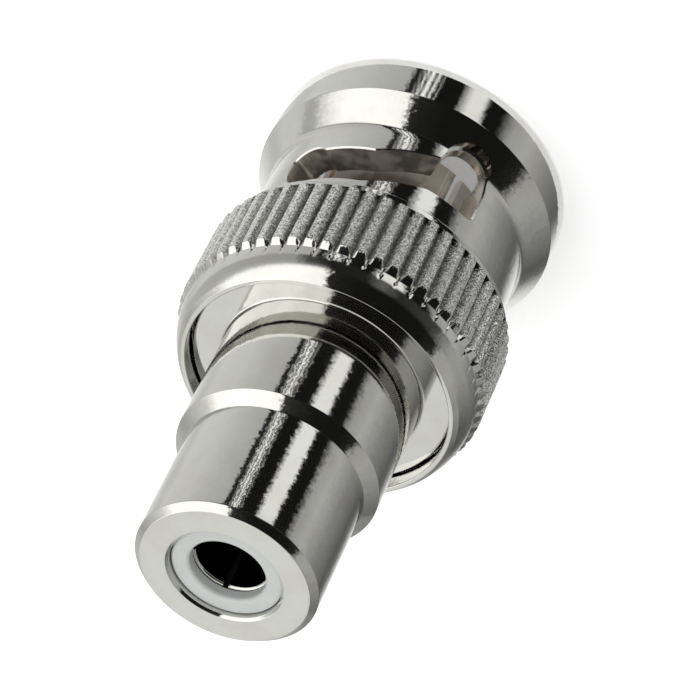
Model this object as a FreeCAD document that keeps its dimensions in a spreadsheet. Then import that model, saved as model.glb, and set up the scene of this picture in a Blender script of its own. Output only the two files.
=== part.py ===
import FreeCAD, Part
import math
import os
import Sketcher
from FreeCAD import Placement, Rotation, Vector

# Adapter from a bayonet coaxial plug to a phono socket, in nickel-plated brass.
# It stands on the front face of its coupling nut: Z runs along the axis, from the
# bayonet end at Z = 0 up to the face of the phono socket. Millimetres and degrees.

doc = FreeCAD.newDocument("coaxial_to_phono_adapter")

# Driving dimensions, each written once: name, value, meaning.
DIMENSIONS = [
    ("nut_length", 14.95, "coupling nut, front face to rear rim"),
    ("flange_step", 0.8, "front flange beyond the waist"),
    ("flange_height", 2.3, "front flange, up to its rear edge"),
    ("flange_bevel", 0.15, "rear edge of the flange"),
    ("nut_front_chamfer", 0.25, "outer front edge of the nut"),
    ("waist_wall", 1.48, "wall of the waist that carries the bayonet slots"),
    ("shoulder_top", 4.4, "height where the hollow shoulder meets the waist"),
    ("land_start", 8.75, "height where the knurled ring begins"),
    ("land_length", 0.55, "smooth land in front of the knurl"),
    ("land_step", 0.65, "land beyond the waist"),
    ("knurl_step", 0.25, "crests of the knurl beyond the land"),
    ("knurl_length", 3.7, "straight part of the knurl"),
    ("knurl_groove_width", 0.46, "width of a groove at the crests"),
    ("knurl_chamfer", 0.35, "rear ends of the ridges, along the axis"),
    ("knurl_count", 57, "grooves around the nut"),
    ("knurl_angle", 1.5, "direction of the first groove"),
    ("collar_drop", 0.43, "round collar, from behind the knurl in to the rear rim"),
    ("rim_wall", 0.42, "wall of the rear rim around the hub"),
    ("rim_chamfer", 0.2, "bright edge of the rear rim"),
    ("nut_bore_clearance", 0.12, "radial, bore of the nut around the shoulder"),
    ("nut_entry_chamfer", 0.3, "lead-in of the bore"),
    ("lip_thickness", 0.5, "inner lip that the spring presses on"),
    ("disc_recess", 0.75, "rear rim down to the face of the hub"),
    ("hub_thickness", 0.6, "hub flange that closes the nut"),
    ("hub_clearance", 0.1, "radial gap from the hub to the nut"),
    ("rear_barrel_step", 0.55, "barrel behind the step, beyond the front one"),
    ("rear_barrel_length", 5.9, "hub face to the foot of the step"),
    ("step_length", 0.5, "conical step"),
    ("front_barrel_radius", 4.15, "barrel that takes the phono plug"),
    ("front_barrel_length", 6.2, "step to the socket face"),
    ("face_chamfer", 0.3, "outer edge of the socket face"),
    ("insulator_wall", 0.55, "wall of the socket insulator"),
    ("shell_bore_chamfer", 0.12, "edge of the bore"),
    ("spigot_wall", 0.55, "wall of the spigot in the plug body"),
    ("spigot_length", 1.4, "spigot of the shell in the plug body"),
    ("contact_tip", 2.3, "height of the tip of the outer contact"),
    ("contact_radius", 4.05, "outer contact of the plug"),
    ("contact_wall", 0.6, "wall of the outer contact"),
    ("contact_tip_chamfer", 0.25, "lead-in of the outer contact"),
    ("contact_slit_width", 0.45, "slits between the spring fingers"),
    ("contact_slit_length", 6.0, "slits between the spring fingers"),
    ("contact_slit_angle", 65.0, "direction of the first slit"),
    ("neck_step", 0.15, "neck inside the outer contact"),
    ("shoulder_step", 0.75, "shoulder beyond the outer contact"),
    ("body_shoulder_thickness", 0.5, "shoulder that carries the spring"),
    ("gasket_thickness", 0.4, "sealing ring in front of the shoulder"),
    ("gasket_clearance", 0.05, "edge of the sealing ring inside the shoulder"),
    ("gasket_groove_depth", 0.25, "groove of the outer contact that holds the ring"),
    ("spring_height", 0.95, "wave spring at rest"),
    ("spring_strip", 0.2, "thickness of the spring strip"),
    ("spring_width", 0.65, "radial width of the spring strip"),
    ("spring_wave_count", 3, "waves around the spring"),
    ("spring_section_count", 24, "sections that the spring is drawn through"),
    ("thrust_washer_thickness", 0.25, "flat washer between spring and lip"),
    ("washer_edge_gap", 0.12, "washer to the bore of the nut"),
    ("running_clearance", 0.06, "radial, nut and washer on the neck"),
    ("end_play", 0.03, "axial, between pieces that turn on each other"),
    ("seat_gap", 0.02, "pieces pressed or seated together"),
    ("insulator_front", 7.7, "height of the front face of the plug insulator"),
    ("insulator_chamfer", 0.25, "edges of the insulators"),
    ("insulator_recess", 0.3, "socket insulator below the socket face"),
    ("insulator_lip", 0.6, "lip of the insulator in front of the contact"),
    ("mouth_clearance", 0.12, "radial, hole of the insulator around the contact's bore"),
    ("socket_radius", 1.6, "bore that takes the phono pin"),
    ("socket_wall", 0.36, "wall of the centre contact"),
    ("socket_floor", 1.2, "solid foot of the centre contact"),
    ("socket_slit_width", 0.25, "slits between the leaves"),
    ("socket_slit_length", 7.5, "slits between the leaves"),
    ("socket_slit_angle", 7.5, "direction of the first slit"),
    ("stem_radius", 0.95, "stem through the plug insulator"),
    ("stem_length", 2.0, "stem of the centre contact"),
    ("pin_radius", 0.675, "centre pin of the plug"),
    ("pin_tip", 2.6, "height of the tip of the pin"),
    ("pin_nose_length", 1.1, "tapered nose of the pin"),
    ("pin_nose_radius", 0.25, "end of the nose"),
    ("pin_shank_length", 0.3, "shank in front of the plug insulator"),
    ("pin_tail_radius", 0.48, "tail of the pin inside the stem"),
    ("pin_tail_length", 1.4, "tail of the pin inside the stem"),
    ("slot_width", 2.15, "bayonet slot"),
    ("slot_entry_height", 5.6, "middle of the slot where the stud enters"),
    ("slot_lock_height", 6.55, "middle of the slot at its end"),
    ("slot_entry_angle", -107.0, "middle of the entry"),
    ("slot_entry_span", 23.0, "angle of the level entry"),
    ("slot_ramp_span", 27.0, "angle of the ramp"),
    ("slot_lock_span", 29.0, "angle of the level end, up to the lock hole"),
    ("lock_hole_radius", 1.15, "lock hole"),
    ("lock_hole_offset", 0.15, "lock hole set towards the front"),
    ("entry_hole_radius", 1.2, "round front end of the entry"),
    ("entry_hole_height", 4.4, "middle of the round front end"),
    ("entry_groove_width", 2.3, "groove inside the nut for the stud"),
    ("entry_groove_depth", 0.73, "depth of that groove in the bore"),
]

sheet = doc.addObject("Spreadsheet::Sheet", "dims")
for row, (alias, value, meaning) in enumerate(DIMENSIONS, start=1):
    sheet.set(f"A{row}", meaning)
    sheet.set(f"B{row}", str(value))
    sheet.setAlias(f"B{row}", alias)
doc.recompute()


class Size:
    """A length or angle: its value now, and the expression that binds it to the sheet."""

    def __init__(self, text, value):
        self.text = text
        self.value = value

    def _joined(self, other, sign, value):
        return Size(f"({self.text} {sign} {as_size(other).text})", value)

    def __add__(self, other):
        return self._joined(other, "+", self.value + as_size(other).value)

    def __sub__(self, other):
        return self._joined(other, "-", self.value - as_size(other).value)

    def __mul__(self, other):
        return self._joined(other, "*", self.value * as_size(other).value)

    def __truediv__(self, other):
        return self._joined(other, "/", self.value / as_size(other).value)

    def __neg__(self):
        return Size(f"(0 - {self.text})", -self.value)


def as_size(number):
    """A bare number as a Size."""
    return number if isinstance(number, Size) else Size(repr(float(number)), float(number))


SIZES = {alias: Size(f"{sheet.Name}.{alias}", float(value)) for alias, value, _ in DIMENSIONS}


def dim(alias):
    """The driving dimension of that name."""
    return SIZES[alias]


# Heights that follow from the driving dimensions.
HUB_FACE = dim("nut_length") - dim("disc_recess")
HUB_FOOT = HUB_FACE - dim("hub_thickness")
STEP_FOOT = HUB_FACE + dim("rear_barrel_length")
STEP_TOP = STEP_FOOT + dim("step_length")
SOCKET_FACE = STEP_TOP + dim("front_barrel_length")
LIP_TOP = HUB_FOOT - dim("end_play")
LIP_FOOT = LIP_TOP - dim("lip_thickness")
WASHER_TOP = LIP_FOOT - dim("end_play")
WASHER_FOOT = WASHER_TOP - dim("thrust_washer_thickness")
SPRING_TOP = WASHER_FOOT - dim("seat_gap")
SPRING_FOOT = SPRING_TOP - dim("spring_height")
SHOULDER_TOP = SPRING_FOOT - dim("seat_gap")
SHOULDER_FOOT = SHOULDER_TOP - dim("body_shoulder_thickness")
GASKET_FOOT = SHOULDER_FOOT - dim("gasket_thickness")
SPIGOT_FOOT = HUB_FOOT - dim("spigot_length")
STEM_FOOT = SPIGOT_FOOT - dim("stem_length")

# Radii that follow, from the centre contact out to the flange.
CONTACT_SEAT = dim("socket_radius") + dim("socket_wall") + dim("seat_gap")
SHELL_BORE = CONTACT_SEAT + dim("insulator_wall") + dim("seat_gap")
SPIGOT = SHELL_BORE + dim("spigot_wall")
REAR_BARREL = dim("front_barrel_radius") + dim("rear_barrel_step")
CONTACT_BORE = dim("contact_radius") - dim("contact_wall")
GASKET_SEAT = dim("contact_radius") - dim("gasket_groove_depth")
NECK = dim("contact_radius") - dim("neck_step")
SLIDING_BORE = NECK + dim("running_clearance")
SHOULDER = dim("contact_radius") + dim("shoulder_step")
NUT_BORE = SHOULDER + dim("nut_bore_clearance")
WAIST = NUT_BORE + dim("waist_wall")
FLANGE = WAIST + dim("flange_step")
LAND = WAIST + dim("land_step")
KNURL = LAND + dim("knurl_step")
RIM = LAND - dim("collar_drop")
RIM_BORE = RIM - dim("rim_wall")
HUB = RIM_BORE - dim("hub_clearance")


def rounded_off(radius, foot, top, rise_foot, rise_top):
    """Corners of a round shoulder between two heights, in short straight runs.

    It stands rise_foot inside radius at its foot and rise_top inside it at its top, and
    the larger rise is reached along a parabola that starts level with the other end.
    """
    steps = 3
    rise_foot = as_size(rise_foot)
    rise_top = as_size(rise_top)
    corners = []
    for step in range(steps + 1):
        share = step / steps
        height = foot + (top - foot) * share
        inward = rise_foot * (1 - share) ** 2 + rise_top * share ** 2
        corners.append((radius - inward, height))
    return corners


def new_body(label):
    """An empty body whose label names its file."""
    body = doc.addObject("PartDesign::Body", label)
    body.Label = label
    return body


def new_sketch(body, name, role="XZ_Plane", lift=None, turn=None):
    """A sketch on one of the body's planes, lifted along its normal and turned about Z."""
    sketch = body.newObject("Sketcher::SketchObject", name)
    plane = next(f for f in body.Origin.OriginFeatures if f.Role == role)
    sketch.AttachmentSupport = [(plane, "")]
    sketch.MapMode = "FlatFace"
    # Z is the normal of the XY plane and the upright direction of the XZ plane.
    upright = Vector(0, 0, 1) if role == "XY_Plane" else Vector(0, 1, 0)
    height = as_size(0 if lift is None else lift)
    angle = as_size(0 if turn is None else turn)
    base = Vector(0, 0, height.value)
    sketch.AttachmentOffset = Placement(base, Rotation(upright, angle.value))
    if lift is not None:
        sketch.setExpression("AttachmentOffset.Base.z", lift.text)
    if turn is not None:
        sketch.setExpression("AttachmentOffset.Rotation.Angle", turn.text)
    return sketch


def bind(sketch, name, constraint, size):
    """Add a named constraint and bind it to the sheet."""
    index = sketch.addConstraint(constraint)
    sketch.renameConstraint(index, name)
    sketch.setExpression(f"Constraints.{name}", size.text)


def draw(sketch, corners):
    """Closed outline through (x, y) corners, each bound to the sheet."""
    corners = [(as_size(x), as_size(y)) for x, y in corners]
    points = [Vector(x.value, y.value, 0) for x, y in corners]
    for index, start in enumerate(points):
        end = points[(index + 1) % len(points)]
        sketch.addGeometry(Part.LineSegment(start, end))
    for index, (x, y) in enumerate(corners):
        before = (index - 1) % len(corners)
        sketch.addConstraint(Sketcher.Constraint("Coincident", before, 2, index, 1))
        bind(sketch, f"x{index}", Sketcher.Constraint("DistanceX", -1, 1, index, 1, x.value), x)
        bind(sketch, f"y{index}", Sketcher.Constraint("DistanceY", -1, 1, index, 1, y.value), y)


def draw_circle(sketch, x, y, radius):
    """Circle about (x, y)."""
    x, y = as_size(x), as_size(y)
    centre = Vector(x.value, y.value, 0)
    sketch.addGeometry(Part.Circle(centre, Vector(0, 0, 1), radius.value))
    bind(sketch, "x", Sketcher.Constraint("DistanceX", -1, 1, 0, 3, x.value), x)
    bind(sketch, "y", Sketcher.Constraint("DistanceY", -1, 1, 0, 3, y.value), y)
    bind(sketch, "radius", Sketcher.Constraint("Radius", 0, radius.value), radius)


def turned(label, corners):
    """A body turned about Z from one half section of (radius, height) corners."""
    body = new_body(label)
    sketch = new_sketch(body, f"{label}_section")
    draw(sketch, corners)
    feature = body.newObject("PartDesign::Revolution", f"{label}_turning")
    feature.Profile = sketch
    feature.ReferenceAxis = (sketch, ["V_Axis"])
    feature.Angle = 360
    body.Tip = feature
    doc.recompute()
    return body


def box_corners(left, right, low, high):
    """Corners of a rectangle, counter-clockwise."""
    return [(left, low), (right, low), (right, high), (left, high)]


def pocket(body, name, sketch, length):
    """Cut the sketch along its own normal."""
    cut = body.newObject("PartDesign::Pocket", name)
    cut.Profile = sketch
    cut.Reversed = True
    cut.Length = length.value
    cut.setExpression("Length", length.text)
    body.Tip = cut
    return cut


def sector(body, name, sketch, span):
    """Cut the sketch round Z, half of the span to each side of its plane."""
    cut = body.newObject("PartDesign::Groove", name)
    cut.Profile = sketch
    cut.ReferenceAxis = (sketch, ["V_Axis"])
    cut.Midplane = True
    cut.Angle = span.value
    cut.setExpression("Angle", span.text)
    body.Tip = cut
    return cut


def around(body, name, features, count, angle=360.0):
    """Repeat features about Z."""
    doc.recompute()
    pattern = body.newObject("PartDesign::PolarPattern", name)
    pattern.Originals = features
    axis = next(f for f in body.Origin.OriginFeatures if f.Role == "Z_Axis")
    pattern.Axis = (axis, [""])
    pattern.Angle = angle
    pattern.Occurrences = int(as_size(count).value)
    if isinstance(count, Size):
        pattern.setExpression("Occurrences", count.text)
    body.Tip = pattern
    doc.recompute()
    return pattern


def make_socket_shell():
    """Socket shell: stepped barrel, hub flange that closes the nut, spigot for the plug body."""
    bore = SHELL_BORE
    edge = dim("shell_bore_chamfer")
    chamfer = dim("face_chamfer")
    barrel = dim("front_barrel_radius")
    spigot = SPIGOT - dim("seat_gap")
    turned("socket_shell", [
        (bore, SPIGOT_FOOT + dim("seat_gap")),
        (spigot, SPIGOT_FOOT + dim("seat_gap")),
        (spigot, HUB_FOOT),
        (HUB, HUB_FOOT),
        (HUB, HUB_FACE),
        (REAR_BARREL, HUB_FACE),
        (REAR_BARREL, STEP_FOOT),
        (barrel, STEP_TOP),
        (barrel, SOCKET_FACE - chamfer),
        (barrel - chamfer, SOCKET_FACE),
        (bore + edge, SOCKET_FACE),
        (bore, SOCKET_FACE - edge),
    ])


def make_socket_insulator():
    """White bush in the shell, with a lip in front of the centre contact."""
    outer = SHELL_BORE - dim("seat_gap")
    bore = CONTACT_SEAT
    mouth = dim("socket_radius") + dim("mouth_clearance")
    face = SOCKET_FACE - dim("insulator_recess")
    chamfer = dim("insulator_chamfer")
    lip_foot = face - dim("insulator_lip")
    turned("socket_insulator", [
        (bore, SPIGOT_FOOT + dim("seat_gap")),
        (outer, SPIGOT_FOOT + dim("seat_gap")),
        (outer, face - chamfer / 2),
        (outer - chamfer / 2, face),
        (mouth + chamfer, face),
        (mouth, face - chamfer),
        (mouth, lip_foot),
        (bore, lip_foot),
    ])


def make_center_socket():
    """Centre contact: slit tube that grips the phono pin, solid foot and stem."""
    bore = dim("socket_radius")
    wall = dim("socket_wall")
    top = SOCKET_FACE - dim("insulator_recess") - dim("insulator_lip") - dim("seat_gap")
    foot = SPIGOT_FOOT + dim("seat_gap")
    hole = dim("pin_tail_radius") + dim("seat_gap")
    hole_top = STEM_FOOT + dim("pin_tail_length") + dim("seat_gap")
    body = turned("center_socket", [
        (hole, STEM_FOOT),
        (dim("stem_radius"), STEM_FOOT),
        (dim("stem_radius"), foot),
        (bore + wall, foot),
        (bore + wall, top - wall / 3),
        (bore + wall * 2 / 3, top),
        (bore + wall / 2, top),
        (bore, top - wall / 2),
        (bore, foot + dim("socket_floor")),
        (0, foot + dim("socket_floor")),
        (0, hole_top),
        (hole, hole_top),
    ])
    half = dim("socket_slit_width") / 2
    reach = bore + wall * 2
    level = top - dim("socket_slit_length")
    slit = new_sketch(body, "leaf_slit", "XY_Plane", level, dim("socket_slit_angle"))
    draw(slit, box_corners(-reach, reach, -half, half))
    cut = pocket(body, "leaf_slit_cut", slit, dim("socket_slit_length") * 2)
    around(body, "leaf_slits", [cut], 2, 90.0)


def make_plug_body():
    """Plug body: slit outer contact, groove and shoulder for ring and spring, neck."""
    outer = dim("contact_radius")
    bore = CONTACT_BORE
    lead = dim("contact_tip_chamfer")
    step_bore = SHELL_BORE
    body = turned("plug_body", [
        (bore, dim("contact_tip")),
        (outer - lead, dim("contact_tip")),
        (outer, dim("contact_tip") + lead),
        (outer, GASKET_FOOT - dim("seat_gap")),
        (GASKET_SEAT, GASKET_FOOT - dim("seat_gap")),
        (GASKET_SEAT, SHOULDER_FOOT),
        (SHOULDER, SHOULDER_FOOT),
        (SHOULDER, SHOULDER_TOP),
        (NECK, SHOULDER_TOP),
        (NECK, HUB_FOOT),
        (SPIGOT, HUB_FOOT),
        (SPIGOT, SPIGOT_FOOT),
        (step_bore, SPIGOT_FOOT),
        (step_bore, SHOULDER_FOOT),
        (bore, SHOULDER_FOOT),
    ])
    half = dim("contact_slit_width") / 2
    reach = outer * 2
    level = dim("contact_tip") - half
    slit = new_sketch(body, "finger_slit", "XY_Plane", level, dim("contact_slit_angle"))
    draw(slit, box_corners(-reach, reach, -half, half))
    cut = pocket(body, "finger_slit_cut", slit, dim("contact_slit_length") + half)
    around(body, "finger_slits", [cut], 2, 90.0)


def make_plug_insulator():
    """White bush that holds the centre pin in the plug body."""
    gap = dim("seat_gap")
    outer = CONTACT_BORE - gap
    inner = dim("stem_radius") + gap
    chamfer = dim("insulator_chamfer")
    front = dim("insulator_front")
    turned("plug_insulator", [
        (inner, front),
        (outer - chamfer, front),
        (outer, front + chamfer),
        (outer, SHOULDER_FOOT - gap),
        (SHELL_BORE - gap, SHOULDER_FOOT - gap),
        (SHELL_BORE - gap, SPIGOT_FOOT),
        (inner, SPIGOT_FOOT),
    ])


def make_plug_center_pin():
    """Centre pin of the plug: tapered nose, shank in the insulator, tail in the stem."""
    pin = dim("pin_radius")
    tip = dim("pin_tip")
    shank_foot = dim("insulator_front") - dim("pin_shank_length")
    turned("plug_center_pin", [
        (0, tip),
        (dim("pin_nose_radius"), tip),
        (pin, tip + dim("pin_nose_length")),
        (pin, shank_foot),
        (dim("stem_radius"), shank_foot),
        (dim("stem_radius"), STEM_FOOT),
        (dim("pin_tail_radius"), STEM_FOOT),
        (dim("pin_tail_radius"), STEM_FOOT + dim("pin_tail_length")),
        (0, STEM_FOOT + dim("pin_tail_length")),
    ])


def make_sealing_gasket():
    """Flat silicone ring in its groove, in front of the shoulder."""
    turned("sealing_gasket", box_corners(
        GASKET_SEAT + dim("seat_gap"),
        SHOULDER - dim("gasket_clearance"),
        GASKET_FOOT,
        SHOULDER_FOOT,
    ))


def make_thrust_washer():
    """Flat washer that the spring presses against the lip of the nut."""
    turned("thrust_washer", box_corners(
        SLIDING_BORE,
        NUT_BORE - dim("washer_edge_gap"),
        WASHER_FOOT,
        WASHER_TOP,
    ))


def make_wave_spring():
    """Wave spring: a flat strip bent into three waves, lofted through its own sections."""
    waves = int(dim("spring_wave_count").value)
    sections = int(dim("spring_section_count").value)
    thickness = dim("spring_strip").value
    inner = SLIDING_BORE.value
    outer = inner + dim("spring_width").value
    swing = (dim("spring_height").value - thickness) / 2
    middle = (SPRING_FOOT.value + SPRING_TOP.value) / 2
    rings = []
    for index in range(sections):
        turn = 360.0 * index / sections
        height = middle + swing * math.cos(math.radians(turn) * waves)
        low = height - thickness / 2
        high = height + thickness / 2
        outline = [Vector(r, 0, z) for r, z in box_corners(inner, outer, low, high)]
        ring = Part.makePolygon(outline + outline[:1])
        ring.rotate(Vector(), Vector(0, 0, 1), turn)
        rings.append(ring)
    spring = doc.addObject("Part::Feature", "wave_spring")
    spring.Label = "wave_spring"
    spring.Shape = Part.makeLoft(rings, True, False, True)


def make_coupling_nut():
    """Bayonet nut: flange, hollow shoulder, waist with two cam slots, knurled ring, rear rim."""
    shoulder_foot = dim("flange_height") + dim("flange_bevel")
    shoulder_rise = dim("flange_step") - dim("flange_bevel")
    knurl_foot = dim("land_start") + dim("land_length")
    knurl_top = knurl_foot + dim("knurl_length")
    collar_foot = knurl_top + dim("knurl_chamfer")
    rim_foot = dim("nut_length") - dim("rim_chamfer")
    entry = dim("nut_entry_chamfer")
    # The hollow shoulder is the parabola's outside, drawn from the waist outwards.
    shoulder = rounded_off(WAIST, shoulder_foot, dim("shoulder_top"), -shoulder_rise, 0)
    collar = rounded_off(LAND, collar_foot, rim_foot, 0, dim("collar_drop"))
    body = turned("coupling_nut", [
        (NUT_BORE + entry, 0),
        (FLANGE - dim("nut_front_chamfer"), 0),
        (FLANGE, dim("nut_front_chamfer")),
        (FLANGE, dim("flange_height")),
        *shoulder,
        (WAIST, dim("land_start")),
        (LAND, dim("land_start")),
        (LAND, knurl_foot),
        (KNURL, knurl_foot),
        (KNURL, knurl_top),
        *collar,
        (RIM - dim("rim_chamfer"), dim("nut_length")),
        (RIM_BORE, dim("nut_length")),
        (RIM_BORE, LIP_TOP),
        (SLIDING_BORE, LIP_TOP),
        (SLIDING_BORE, LIP_FOOT),
        (NUT_BORE, LIP_FOOT),
        (NUT_BORE, entry),
    ])
    cut_knurl(body, knurl_foot, dim("nut_length") - knurl_foot)
    cut_slots(body)


def cut_knurl(body, foot, length):
    """Straight V grooves, as deep as the land is low, that run out on the ridges' chamfer."""
    over = 1.0
    crest = KNURL
    root = LAND
    slope = dim("knurl_groove_width") / 2 / dim("knurl_step")
    half = slope * (dim("knurl_step") + over)
    groove = new_sketch(body, "knurl_groove", "XY_Plane", foot, dim("knurl_angle"))
    draw(groove, [(root, 0), (crest + over, -half), (crest + over, half)])
    cut = pocket(body, "knurl_groove_cut", groove, length)
    around(body, "knurl", [cut], dim("knurl_count"))


def cut_slots(body):
    """Two cam slots: level entry, ramp, level end with its lock hole, and the stud grooves."""
    inside = NUT_BORE - 1
    outside = FLANGE + 1
    half = dim("slot_width") / 2
    entry = dim("slot_entry_height")
    lock = dim("slot_lock_height")
    ramp_start = dim("slot_entry_angle") + dim("slot_entry_span") / 2
    ramp_end = ramp_start + dim("slot_ramp_span")
    lock_angle = ramp_end + dim("slot_lock_span")
    # A radial cut leaves its sketch along -Y, a quarter turn behind the X axis.
    quarter = 90.0

    level = new_sketch(body, "entry_band", turn=dim("slot_entry_angle"))
    draw(level, box_corners(inside, outside, entry - half, entry + half))
    entry_cut = sector(body, "entry_band_cut", level, dim("slot_entry_span"))

    ramp = new_sketch(body, "ramp_section", turn=ramp_start)
    draw(ramp, box_corners(inside, outside, entry - half, entry + half))
    ramp_cut = body.newObject("PartDesign::SubtractiveHelix", "ramp_cut")
    ramp_cut.Profile = ramp
    ramp_cut.ReferenceAxis = (ramp, ["V_Axis"])
    ramp_cut.Mode = "pitch-height-angle"
    rise = lock - entry
    pitch = rise * 360 / dim("slot_ramp_span")
    ramp_cut.Pitch = pitch.value
    ramp_cut.Height = rise.value
    ramp_cut.setExpression("Pitch", pitch.text)
    ramp_cut.setExpression("Height", rise.text)
    body.Tip = ramp_cut

    level = new_sketch(body, "lock_band", turn=ramp_end + dim("slot_lock_span") / 2)
    draw(level, box_corners(inside, outside, lock - half, lock + half))
    lock_cut = sector(body, "lock_band_cut", level, dim("slot_lock_span"))

    hole = new_sketch(body, "lock_hole", turn=lock_angle + quarter)
    draw_circle(hole, 0, lock - dim("lock_hole_offset"), dim("lock_hole_radius"))
    hole_cut = pocket(body, "lock_hole_cut", hole, outside)

    hole = new_sketch(body, "entry_hole", turn=dim("slot_entry_angle") + quarter)
    draw_circle(hole, 0, dim("entry_hole_height"), dim("entry_hole_radius"))
    mouth_cut = pocket(body, "entry_hole_cut", hole, outside)

    groove = new_sketch(body, "stud_groove", turn=dim("slot_entry_angle") + quarter)
    half_groove = dim("entry_groove_width") / 2
    draw(groove, box_corners(-half_groove, half_groove, -1, dim("entry_hole_height")))
    groove_cut = pocket(body, "stud_groove_cut", groove, NUT_BORE + dim("entry_groove_depth"))
    cuts = [entry_cut, ramp_cut, lock_cut, hole_cut, mouth_cut, groove_cut]
    around(body, "slots", cuts, 2)


def check_and_export():
    """Stop on any failed object, then write one file for each piece."""
    doc.recompute()
    for item in doc.Objects:
        failed = [state for state in item.State if state in ("Invalid", "Error")]
        if failed:
            raise RuntimeError(f"{item.Name} failed: {failed}")
    pieces = [item for item in doc.Objects if item.TypeId in ("PartDesign::Body", "Part::Feature")]
    for piece in pieces:
        if piece.Shape.isNull() or not piece.Shape.isValid():
            raise RuntimeError(f"{piece.Label} has no valid shape")
    os.makedirs("parts", exist_ok=True)
    for piece in pieces:
        solids = len(piece.Shape.Solids)
        print(f"{piece.Label}: {solids} solid, {piece.Shape.Volume:.2f} cubic mm")
        piece.Shape.exportStep(f"parts/{piece.Label}.step")


make_socket_shell()
make_socket_insulator()
make_center_socket()
make_plug_body()
make_plug_insulator()
make_plug_center_pin()
make_sealing_gasket()
make_wave_spring()
make_thrust_washer()
make_coupling_nut()
check_and_export()
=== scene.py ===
import math

import bpy
import numpy as np
from bpy.props import FloatProperty, FloatVectorProperty, IntProperty, PointerProperty
from mathutils import Matrix, Vector


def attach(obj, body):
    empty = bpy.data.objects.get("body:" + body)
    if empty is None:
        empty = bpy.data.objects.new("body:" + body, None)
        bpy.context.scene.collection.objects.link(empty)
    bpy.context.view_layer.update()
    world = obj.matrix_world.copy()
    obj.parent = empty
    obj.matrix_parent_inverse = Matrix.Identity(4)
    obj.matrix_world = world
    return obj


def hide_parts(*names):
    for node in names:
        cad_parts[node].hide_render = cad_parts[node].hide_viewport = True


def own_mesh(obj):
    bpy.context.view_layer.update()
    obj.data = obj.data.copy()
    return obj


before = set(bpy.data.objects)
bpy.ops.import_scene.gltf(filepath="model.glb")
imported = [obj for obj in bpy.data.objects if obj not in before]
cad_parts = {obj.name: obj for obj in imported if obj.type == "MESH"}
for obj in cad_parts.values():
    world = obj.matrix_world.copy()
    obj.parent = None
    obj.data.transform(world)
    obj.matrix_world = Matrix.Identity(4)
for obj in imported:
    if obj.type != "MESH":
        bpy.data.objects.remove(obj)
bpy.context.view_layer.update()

bl_info = {
    "name": "Bayonet to phono adapter",
    "version": (1, 0, 0),
    "blender": (4, 5, 0),
    "location": "View3D > Sidebar > Adapter",
    "description": "Builds the turned, knurled and moulded pieces of a coaxial adapter",
    "category": "Add Mesh",
}

MM = 0.001

# The fillet of a fine edge, the play between two fitted pieces, and the first cam slot's entry.
FINE = 0.05 * MM
PLAY = 0.02 * MM
ENTRY_TURN = math.radians(-107.0)

# Inside the plug: the two faces of the shoulder that carries the spring, the groove for the
# sealing ring, the seat of the shell's spigot, and the tenon that joins pin and contact.
SHOULDER_FOOT, SHOULDER_TOP = 11.3 * MM, 11.8 * MM
RING_GROOVE, RING_GROOVE_FOOT = 3.8 * MM, 10.88 * MM
SEAT, SEAT_FOOT = 3.1 * MM, 12.2 * MM
TENON, TENON_FOOT, TENON_TOP = 0.48 * MM, 10.2 * MM, 11.6 * MM


def length(default, name, description):
    """A size in metres, shown with the scene's unit."""
    return FloatProperty(
        name=name, description=description, default=default * MM, unit="LENGTH", precision=5
    )


def colour(default, name, description):
    """A linear colour."""
    return FloatVectorProperty(
        name=name, description=description, default=default, size=3,
        subtype="COLOR", min=0, max=1,
    )


def factor(default, name, description):
    """A number from 0 to 1."""
    return FloatProperty(
        name=name, description=description, default=default, subtype="FACTOR", min=0, max=1
    )


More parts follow.
